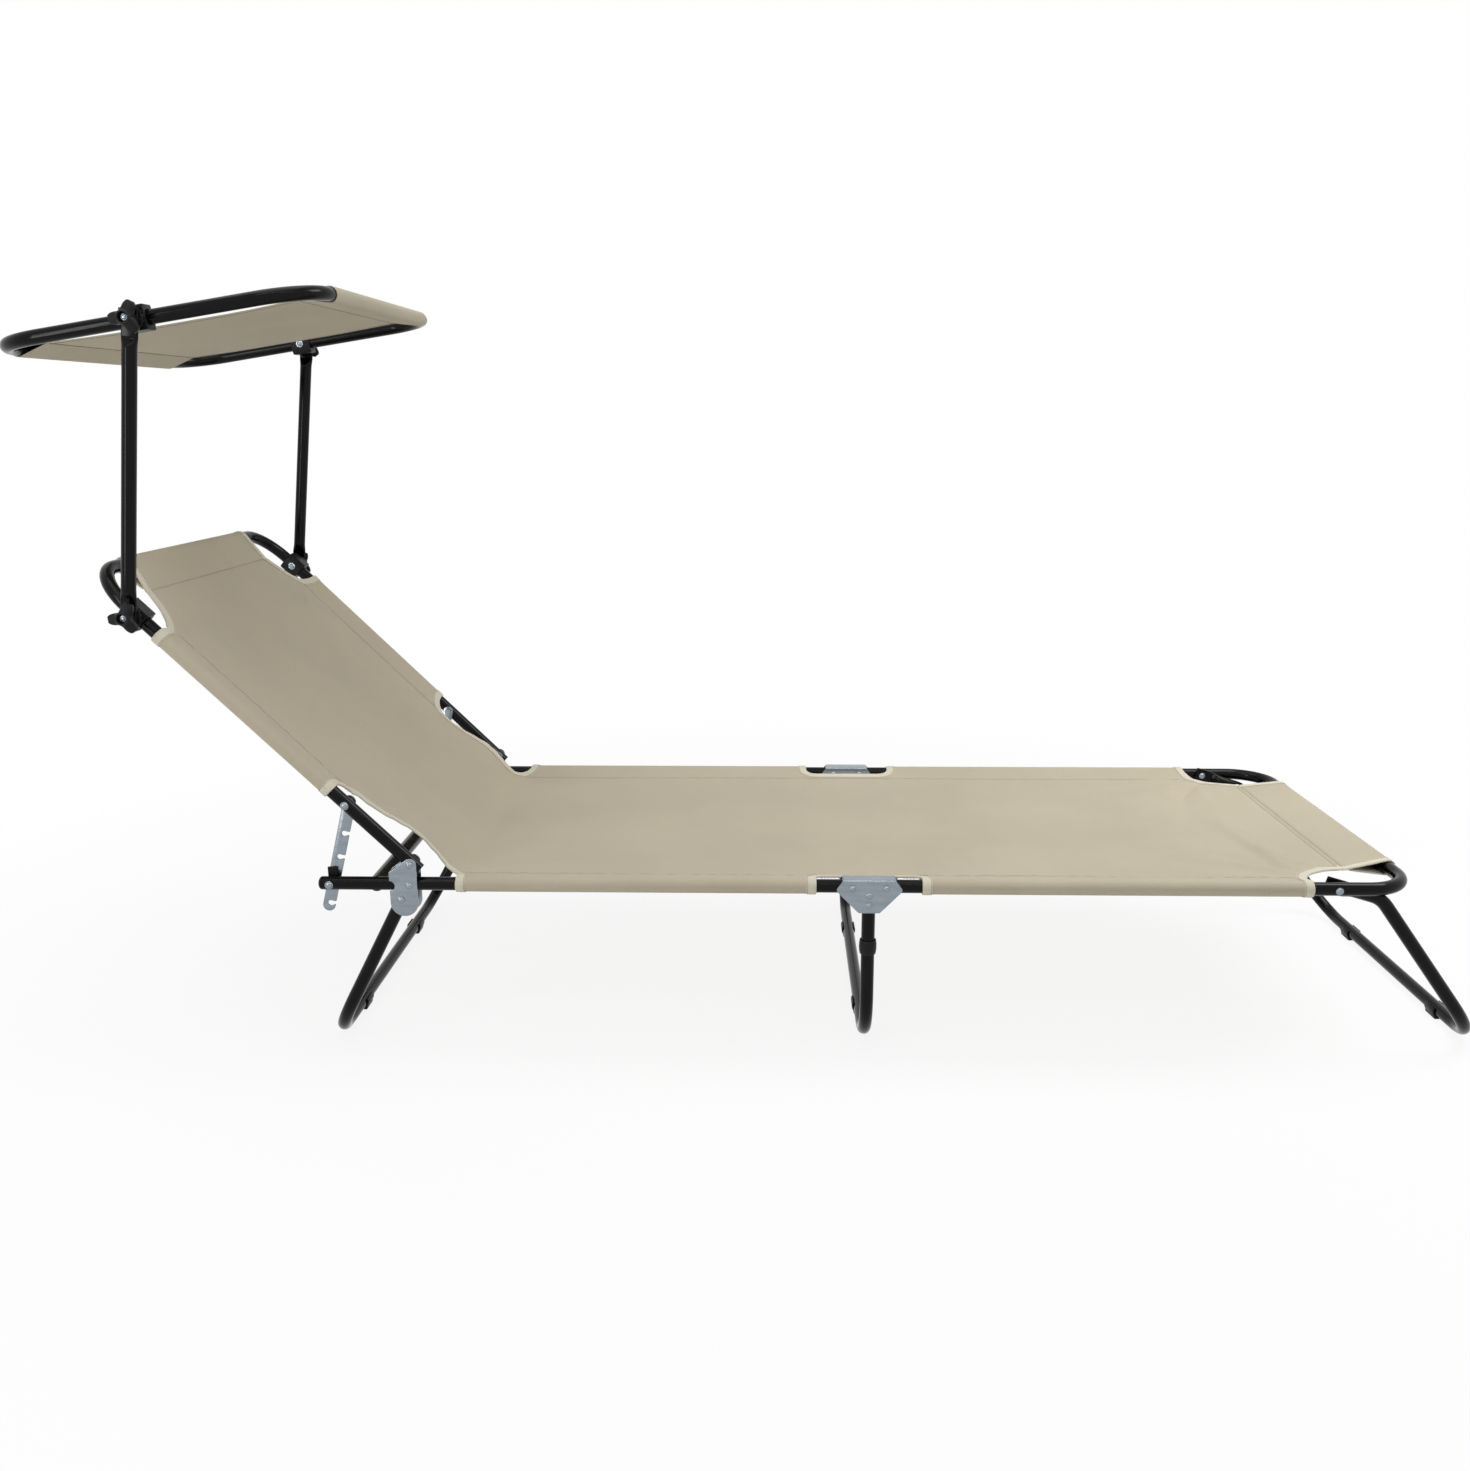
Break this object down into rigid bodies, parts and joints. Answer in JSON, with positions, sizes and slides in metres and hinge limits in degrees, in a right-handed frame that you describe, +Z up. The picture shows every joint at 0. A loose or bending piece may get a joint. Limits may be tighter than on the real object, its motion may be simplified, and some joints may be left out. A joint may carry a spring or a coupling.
{
  "type": "folding sun lounger with canopy",
  "caption": "Folding three-leg sun lounger in round black tube with a beige cloth sling, an adjustable raised backrest and a small tilting sun canopy on two clamped arms",
  "frame": {"origin": "on the ground under the middle of the bounding box", "axes": "+X from the head end to the foot end, +Y across towards the far side, +Z up"},
  "size_m": [1.9508, 0.641, 1.0114],
  "materials": {
    "frame": "glossy black powder coat on round steel tube",
    "zinc": "bright zinc plating, lightly rolled grain",
    "plastic": "black moulded plastic, fine satin grain",
    "cloth": "beige plain-woven polyester, matt"
  },
  "bodies": {
    "mid_stand": {"middle_leg": "frame", "middle_bracket_near": "zinc", "middle_bracket_far": "zinc", "rear_rail_pivot_near": "zinc", "rear_rail_pivot_far": "zinc", "front_rail_pivot_near": "zinc", "front_rail_pivot_far": "zinc", "middle_bumper_near": "plastic", "middle_bumper_far": "plastic", "middle_foot_near": "plastic", "middle_foot_far": "plastic"},
    "rear_half": {"rear_cross_bar": "frame", "cover_seat_rear": "cloth", "rear_rail_near": "frame", "rear_rail_far": "frame", "rail_cap_near": "plastic", "rail_cap_far": "plastic", "rear_bracket_near": "zinc", "rear_bracket_far": "zinc", "back_pivot_near": "zinc", "back_pivot_far": "zinc", "rear_leg_pivot_near": "zinc", "rear_leg_pivot_far": "zinc", "adjuster_pin_near": "zinc", "adjuster_pin_far": "zinc", "strip_guide_near": "plastic", "strip_guide_far": "plastic"},
    "rear_leg_body": {"rear_leg": "frame", "rear_foot_near": "plastic", "rear_foot_far": "plastic"},
    "front_half": {"front_frame": "frame", "cover_seat_front": "cloth", "front_leg_pivot_near": "zinc", "front_leg_pivot_far": "zinc"},
    "front_leg_body": {"front_leg": "frame", "front_foot_near": "plastic", "front_foot_far": "plastic"},
    "backrest": {"back_frame": "frame", "cover_back": "cloth", "strip_rivet_near": "zinc", "strip_rivet_far": "zinc", "lower_clamp_near": "plastic", "lower_clamp_far": "plastic"},
    "strip_near": {"notched_strip_near": "zinc"},
    "strip_far": {"notched_strip_far": "zinc"},
    "canopy_arms": {"canopy_arm_near": "frame", "canopy_arm_far": "frame", "lower_bolt_near": "zinc", "lower_bolt_far": "zinc", "upper_bolt_near": "zinc", "upper_bolt_far": "zinc"},
    "canopy": {"canopy_frame": "frame", "canopy_cover": "cloth", "upper_clamp_near": "plastic", "upper_clamp_far": "plastic"},
    "knob_low_near": {"lower_knob_near": "plastic"},
    "knob_low_far": {"lower_knob_far": "plastic"},
    "knob_up_near": {"upper_knob_near": "plastic"},
    "knob_up_far": {"upper_knob_far": "plastic"}
  },
  "joints": [
    {"name": "rear_half_fold", "type": "hinge", "parent": "mid_stand", "child": "rear_half", "pos_m": [0.10352, 0, 0.245], "axis": [0, -1, 0], "range_deg": [0, 87]},
    {"name": "front_half_fold", "type": "hinge", "parent": "mid_stand", "child": "front_half", "pos_m": [0.14832, 0, 0.245], "axis": [0, 1, 0], "range_deg": [0, 87]},
    {"name": "rear_leg_fold", "type": "hinge", "parent": "rear_half", "child": "rear_leg_body", "pos_m": [-0.49708, 0, 0.225], "axis": [0, -1, 0], "range_deg": [0, 116]},
    {"name": "front_leg_fold", "type": "hinge", "parent": "front_half", "child": "front_leg_body", "pos_m": [0.73792, 0, 0.245], "axis": [0, 1, 0], "range_deg": [0, 127]},
    {"name": "backrest_tilt", "type": "hinge", "parent": "rear_half", "child": "backrest", "pos_m": [-0.48308, 0, 0.274], "axis": [0, 1, 0], "range_deg": [-44.9, 80]},
    {"name": "strip_swing_near", "type": "hinge", "parent": "backrest", "child": "strip_near", "pos_m": [-0.5644, -0.268, 0.35532], "axis": [0, 1, 0], "range_deg": [0, 70]},
    {"name": "strip_swing_far", "type": "hinge", "parent": "backrest", "child": "strip_far", "pos_m": [-0.5644, 0.268, 0.35532], "axis": [0, 1, 0], "range_deg": [0, 70]},
    {"name": "canopy_arm_tilt", "type": "hinge", "parent": "backrest", "child": "canopy_arms", "pos_m": [-0.81613, 0, 0.60705], "axis": [0, -1, 0], "range_deg": [-60, 120]},
    {"name": "canopy_tilt", "type": "hinge", "parent": "canopy_arms", "child": "canopy", "pos_m": [-0.77189, 0, 0.96734], "axis": [0, 1, 0], "range_deg": [-90, 90]},
    {"name": "knob_low_near_turn", "type": "hinge", "parent": "canopy_arms", "child": "knob_low_near", "pos_m": [-0.81613, -0.312, 0.60705], "axis": [0, 1, 0], "continuous": true},
    {"name": "knob_low_far_turn", "type": "hinge", "parent": "canopy_arms", "child": "knob_low_far", "pos_m": [-0.81613, 0.312, 0.60705], "axis": [0, 1, 0], "continuous": true},
    {"name": "knob_up_near_turn", "type": "hinge", "parent": "canopy_arms", "child": "knob_up_near", "pos_m": [-0.77189, -0.312, 0.96734], "axis": [0, 1, 0], "continuous": true},
    {"name": "knob_up_far_turn", "type": "hinge", "parent": "canopy_arms", "child": "knob_up_far", "pos_m": [-0.77189, 0.312, 0.96734], "axis": [0, 1, 0], "continuous": true}
  ]
}
